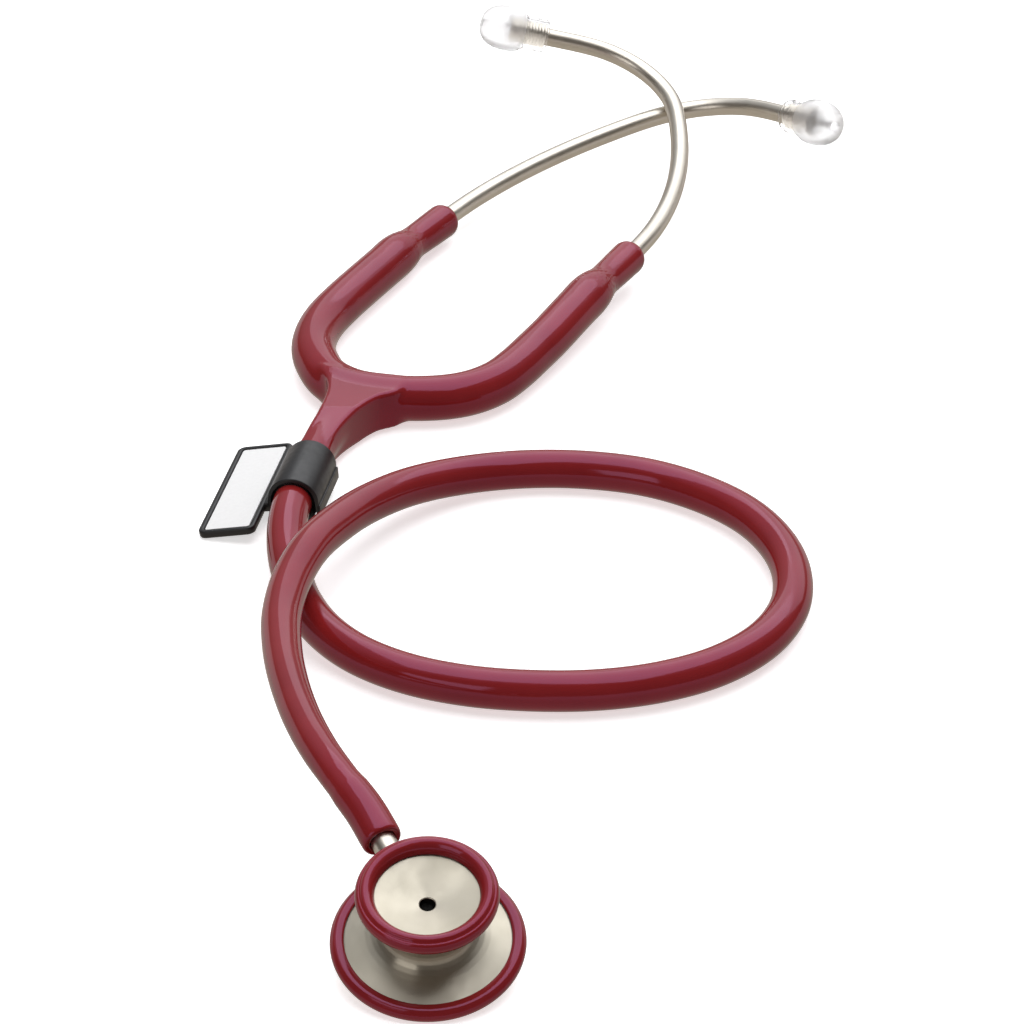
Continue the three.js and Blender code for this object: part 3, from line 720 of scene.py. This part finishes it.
STEM_PROFILE = [
    (0, -3.3), (3.3, -3.3), (3.3, 2.2), (3.3, 7), (2.55, 7), (2.55, 8.4), (3.3, 8.4),
    (3.3, 13.2), (3.0, 13.4), (3.0, STEM_OUT + 5), (2.6, STEM_OUT + 6.2), (1.4, STEM_OUT + 6.2),
    (1.4, STEM_OUT - 4), (0, STEM_OUT - 4),
]
COLLAR = [(3.3, 13.6), (4.4, 13.6), (4.7, 14), (4.7, 15), (4.4, 15.4), (3.3, 15.4)]
stem = turned("stem_tube", eased(STEM_PROFILE, 0.15, 3), 64, STEM_FRAME)
collar = turned("stem_ring", eased(COLLAR, 0.25, 3, loop=True), 72, STEM_FRAME, loop=True)
for o, node in ((stem, "stem"), (collar, "stem_collar")):
    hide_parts(node)
    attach(o, "root")


# ---------------------------------------------------------------- materials
def srgb(r, g, b):
    return tuple(((c / 255 + 0.055) / 1.055) ** 2.4 for c in (r, g, b)) + (1.0,)


def grey(value):
    return (value, value, value, 1)


def two_tone(tree, value, dark, light, start, end):
    """A colour between two, as a value goes from start to end."""
    ramp = tree.nodes.new("ShaderNodeValToRGB")
    for element, place, colour in zip(ramp.color_ramp.elements, (start, end), (dark, light)):
        element.position = place
        element.color = colour
    tree.links.new(value, ramp.inputs["Fac"])
    return ramp.outputs["Color"]


class Finish:
    """A principled material with a few helpers for its procedural detail."""

    def __init__(self, name, **sockets):
        self.material = bpy.data.materials.new(name)
        self.material.use_nodes = True
        self.tree = self.material.node_tree
        self.shader = self.tree.nodes["Principled BSDF"]
        for key, value in sockets.items():
            self.shader.inputs[key.replace("_", " ")].default_value = value
        self.bump_end = None

    def node(self, kind, **settings):
        n = self.tree.nodes.new(kind)
        for key, value in settings.items():
            if key in n.inputs:
                n.inputs[key].default_value = value
            else:
                setattr(n, key, value)
        return n

    def link(self, a, b):
        self.tree.links.new(a, b)

    def place(self, scale=(1, 1, 1), along=False):
        """Coordinates in metres times scale, of the object or along and round a tube."""
        source = self.node("ShaderNodeTexCoord").outputs["UV" if along else "Object"]
        mapping = self.node("ShaderNodeMapping")
        mapping.inputs["Scale"].default_value = scale
        self.link(source, mapping.inputs["Vector"])
        return mapping.outputs["Vector"]

    def noise(self, vector, scale, detail=3.0, roughness=0.5):
        n = self.node("ShaderNodeTexNoise", Scale=scale, Detail=detail, Roughness=roughness)
        self.link(vector, n.inputs["Vector"])
        return n.outputs["Fac"]

    def turned(self, scale):
        """The radius and height of a turned piece, in metres times scale."""
        mapping = self.node("ShaderNodeMapping")
        mapping.inputs["Scale"].default_value = (scale, scale, scale)
        source = self.node("ShaderNodeUVMap", uv_map="turned").outputs[0]
        self.link(source, mapping.inputs["Vector"])
        return mapping.outputs["Vector"]

    def spread(self, value, low, high, start=0.3, end=0.7):
        m = self.node("ShaderNodeMapRange")
        for key, v in (("From Min", start), ("From Max", end), ("To Min", low), ("To Max", high)):
            m.inputs[key].default_value = v
        self.link(value, m.inputs["Value"])
        return m.outputs["Result"]

    def shade(self, value, dark, light, start=0.3, end=0.7):
        return two_tone(self.tree, value, dark, light, start, end)

    def set(self, socket, output):
        self.link(output, self.shader.inputs[socket])

    def bump(self, height, depth, strength=1.0):
        """Adds relief of the given depth in metres."""
        b = self.node("ShaderNodeBump", Strength=strength, Distance=depth)
        self.link(height, b.inputs["Height"])
        if self.bump_end is not None:
            self.link(self.bump_end, b.inputs["Normal"])
        self.bump_end = b.outputs["Normal"]
        self.link(self.bump_end, self.shader.inputs["Normal"])


def vinyl(name, along):
    """Glossy burgundy vinyl with a faint orange peel and handling marks."""
    f = Finish(name, IOR=1.5, Specular_Tint=(1.0, 0.55, 1.0, 1))
    cloud = f.noise(f.place(), 60, 4)
    f.set("Base Color", f.shade(cloud, srgb(136, 32, 33), srgb(146, 38, 38)))
    f.set("Roughness", f.spread(f.noise(f.place(), 220, 5, 0.6), 0.08, 0.14))
    f.bump(f.noise(f.place(), 1400, 2), 0.000003)
    if along:
        f.bump(f.noise(f.place((6, 60, 1), along=True), 1.0, 2), 0.00005, 0.3)
    return f.material


def satin_steel(name, dark, light, along=False, turned_marks=False):
    """Warm satin steel; brushed lengthwise on the pipes and in rings on turned parts."""
    f = Finish(name, Metallic=1.0)
    if turned_marks:
        f.shader.inputs["Anisotropic"].default_value = 0.8
        f.shader.inputs["Anisotropic Rotation"].default_value = 0.25
        tangent = f.node("ShaderNodeTangent", direction_type="UV_MAP", uv_map="along")
        f.link(tangent.outputs[0], f.shader.inputs["Tangent"])
        f.bump(f.noise(f.turned(7000), 1.0, 3, 0.6), 0.0000012)
    if along:
        f.bump(f.noise(f.place((40, 200, 1), along=True), 1.0, 4, 0.6), 0.000002)
    cloud = f.noise(f.place(), 90, 3)
    f.set("Base Color", f.shade(cloud, dark, light))
    f.set("Roughness", f.spread(f.noise(f.place(), 300, 4, 0.55), 0.28, 0.36))
    return f.material


def clear_silicone(name):
    """Frosted dome and clear collar in one soft moulding."""
    f = Finish(name, IOR=1.3)
    height = f.node("ShaderNodeSeparateXYZ")
    f.link(f.turned(1), height.inputs[0])
    collar_top, dome_start = -0.4 * MM, 1.2 * MM
    f.set("Roughness", f.spread(height.outputs["Y"], 0.05, 0.42, collar_top, dome_start))
    f.set("Transmission Weight",
          f.spread(height.outputs["Y"], 0.97, 0.86, collar_top, dome_start))
    cloud = f.noise(f.place(), 300, 3)
    f.set("Base Color", f.shade(cloud, (0.985, 0.98, 0.98, 1), (0.998, 0.995, 0.995, 1)))
    f.bump(f.noise(f.place(), 1800, 2), 0.000006)
    return f.material


def black_plastic(name):
    f = Finish(name, IOR=1.49)
    cloud = f.noise(f.place(), 90, 4)
    f.set("Base Color", f.shade(cloud, (0.006, 0.006, 0.007, 1), (0.012, 0.012, 0.013, 1)))
    f.set("Roughness", f.spread(f.noise(f.place(), 500, 4), 0.3, 0.42))
    f.bump(f.noise(f.place(), 3500, 2), 0.00001, 0.6)
    return f.material


def paper(name):
    f = Finish(name, Roughness=0.75)
    cloud = f.noise(f.place(), 900, 5)
    f.set("Base Color", f.shade(cloud, (0.92, 0.92, 0.915, 1), (0.96, 0.96, 0.955, 1)))
    f.bump(f.noise(f.place((1, 3, 1)), 2500, 4), 0.00001, 0.5)
    return f.material


def glass_weave(name):
    """Epoxy glass sheet with its fine plain weave."""
    f = Finish(name, IOR=1.55)
    waves = []
    for direction in ("X", "Y"):
        w = f.node("ShaderNodeTexWave", bands_direction=direction, Scale=420, Distortion=0.4)
        f.link(f.place(), w.inputs["Vector"])
        waves.append(w.outputs["Fac"])
    mix = f.node("ShaderNodeMath", operation="MULTIPLY")
    f.link(waves[0], mix.inputs[0])
    f.link(waves[1], mix.inputs[1])
    f.set("Base Color", f.shade(mix.outputs[0], (0.55, 0.5, 0.38, 1), (0.78, 0.74, 0.62, 1), 0, 1))
    f.set("Roughness", f.spread(mix.outputs[0], 0.35, 0.22, 0, 1))
    f.bump(mix.outputs[0], 0.00002, 0.4)
    return f.material


def dull_metal(name, dark, light):
    """Plain spring steel and balls inside."""
    f = Finish(name, Metallic=1.0)
    f.set("Base Color", f.shade(f.noise(f.place(), 300, 4), dark, light))
    f.set("Roughness", f.spread(f.noise(f.place(), 900, 4), 0.3, 0.5))
    f.bump(f.noise(f.place(), 4000, 2), 0.000004)
    return f.material


def rubber(name):
    f = Finish(name, IOR=1.5)
    f.set("Base Color", f.shade(f.noise(f.place(), 500, 4), grey(0.008), grey(0.02)))
    f.set("Roughness", f.spread(f.noise(f.place(), 900, 4), 0.55, 0.8))
    f.bump(f.noise(f.place(), 5000, 2), 0.00001)
    return f.material


def bore_shadow(name):
    """Painted shade: a near-black finish for the inside of the sound bore, standing in for the
    shade deep in the hole.
    """
    f = Finish(name, IOR=1.15)
    f.set("Base Color", f.shade(f.noise(f.place(), 900, 3), grey(0.004), (0.02, 0.02, 0.018, 1)))
    f.set("Roughness", f.spread(f.noise(f.place(), 1500, 3), 0.8, 0.95))
    f.bump(f.noise(f.place(), 3000, 2), 0.00002)
    return f.material


FINISHES = {
    "vinyl_tube": vinyl("vinyl_tube", True),
    "vinyl": vinyl("vinyl", False),
    "steel_pipe": satin_steel("steel_pipe", srgb(208, 202, 191), srgb(218, 212, 201), along=True),
    "steel_turned": satin_steel("steel_turned", srgb(170, 164, 149), srgb(180, 174, 160),
                                turned_marks=True),
    "silicone": clear_silicone("silicone"),
    "black_plastic": black_plastic("black_plastic"),
    "card": paper("card"),
    "glass_weave": glass_weave("glass_weave"),
    "spring_steel": dull_metal("spring_steel", (0.25, 0.25, 0.26, 1), (0.35, 0.35, 0.36, 1)),
    "rubber": rubber("rubber"),
    "bore": bore_shadow("bore"),
}
WEARS = {
    "vinyl_tube": ["tubing"],
    "vinyl": ["yoke_left", "yoke_right", "bell_ring", "dish_ring"],
    "steel_pipe": ["ear_pipe_left", "ear_pipe_right", "stem_tube", "ferrule_left", "ferrule_right"],
    "steel_turned": ["chest_body", "stem_boss", "stem_ring", "detent_plug"],
    "silicone": ["soft_tip_left", "soft_tip_right"],
    "black_plastic": ["name_tag"],
    "card": ["name_card"],
    "glass_weave": ["membrane"],
    "spring_steel": ["spring_bridge", "leaf_spring_left", "leaf_spring_right", "detent_ball",
                     "detent_spring"],
    "rubber": ["o_ring"],
}
for finish, names in WEARS.items():
    for name in names:
        data = bpy.data.objects[name].data
        data.materials.clear()
        data.materials.append(FINISHES[finish])


def paint_bore_shade(o, low, high, widest):
    """Paints the bore's dark shade on a turned piece between two heights, out to a radius."""
    o.data.materials.append(FINISHES["bore"])
    layer = o.data.uv_layers["turned"].data
    for face in o.data.polygons:
        radius, height = np.mean([layer[k].uv for k in face.loop_indices], 0)
        if radius < widest * MM and low * MM < height < high * MM:
            face.material_index = 1


# Painted shade in the chest piece's bore and on the stem's foot seen through it.
paint_bore_shade(chest, low=1.9, high=12.9, widest=1.85)
paint_bore_shade(stem, low=-4, high=2.3, widest=4)

# ---------------------------------------------------------------- floor and light
FLOOR_REACH = 5.0
FLOOR_DROP = 2e-5
floor_mesh = bpy.data.meshes.new("floor")
floor_mesh.from_pydata([(x * FLOOR_REACH, y * FLOOR_REACH, -FLOOR_DROP)
                        for x, y in ((-1, -1), (1, -1), (1, 1), (-1, 1))], [], [(0, 1, 2, 3)])
floor = shown("floor", floor_mesh)
floor_finish = Finish("pale_floor", Roughness=0.7)
floor_finish.set("Base Color", floor_finish.shade(
    floor_finish.noise(floor_finish.place(), 30, 4), grey(0.95), grey(0.97)))
floor_finish.shader.inputs["Emission Color"].default_value = grey(1)
floor_finish.shader.inputs["Emission Strength"].default_value = 0.6
floor_mesh.materials.append(floor_finish.material)
floor.visible_diffuse = False
floor.visible_glossy = False


def softbox(name, azimuth, elevation, distance, width, height, radiance, tint):
    """A flat lamp facing the object. Azimuth 0 is behind the object and grows to the right."""
    a, e = math.radians(azimuth), math.radians(elevation)
    way = Vector((math.sin(a) * math.cos(e), math.cos(a) * math.cos(e), math.sin(e)))
    lamp = bpy.data.lights.new(name, "AREA")
    lamp.shape = "RECTANGLE"
    lamp.size = width
    lamp.size_y = height
    lamp.energy = radiance * math.pi * width * height
    lamp.color = tint
    o = bpy.data.objects.new(name, lamp)
    bpy.context.scene.collection.objects.link(o)
    o.location = way * distance
    o.rotation_euler = way.to_track_quat("Z", "Y").to_euler()
    o.visible_camera = False


COOL = (0.98, 0.985, 1.0)
WARM = (1.0, 0.97, 0.95)
softbox("key", azimuth=21, elevation=71.5, distance=2.4, width=2.75, height=3.6,
        radiance=1.9, tint=COOL)
softbox("key_low", azimuth=21, elevation=24, distance=2.4, width=2.75, height=0.95,
        radiance=0.8, tint=COOL)
softbox("fill", azimuth=215, elevation=24, distance=2.2, width=1.2, height=1.0,
        radiance=1.4, tint=WARM)

world = bpy.data.worlds.new("studio")
world.use_nodes = True
sky = world.node_tree


def sky_math(operation, *values):
    """A math node of the world, from numbers and sockets."""
    n = sky.nodes.new("ShaderNodeMath")
    n.operation = operation
    for k, value in enumerate(values):
        if isinstance(value, float):
            n.inputs[k].default_value = value
        else:
            sky.links.new(value, n.inputs[k])
    return n.outputs[0]


# Above, a soft grey that brightens upwards and to the back. Below, a warm ground.
direction = sky.nodes.new("ShaderNodeSeparateXYZ")
sky.links.new(sky.nodes.new("ShaderNodeTexCoord").outputs["Generated"], direction.inputs[0])
lean = sky_math("MULTIPLY_ADD", direction.outputs["Y"], 0.6, direction.outputs["Z"])
height = sky_math("MULTIPLY_ADD", direction.outputs["Z"], 0.5, 0.5)
above = sky_math("GREATER_THAN", direction.outputs["Z"], 0.04)
shades = two_tone(sky, lean, (0.13, 0.115, 0.105, 1), (0.52, 0.53, 0.55, 1), 0.55, 1.0)
ground = two_tone(sky, height, (0.52, 0.47, 0.41, 1), (0.64, 0.60, 0.58, 1), 0.28, 0.44)
halves = sky.nodes.new("ShaderNodeMix")
halves.data_type = "RGBA"
sky.links.new(above, halves.inputs["Factor"])
sky.links.new(ground, halves.inputs[6])
sky.links.new(shades, halves.inputs[7])
sky.links.new(halves.outputs[2], sky.nodes["Background"].inputs["Color"])
bpy.context.scene.world = world
bpy.context.scene.view_settings.view_transform = "Standard"
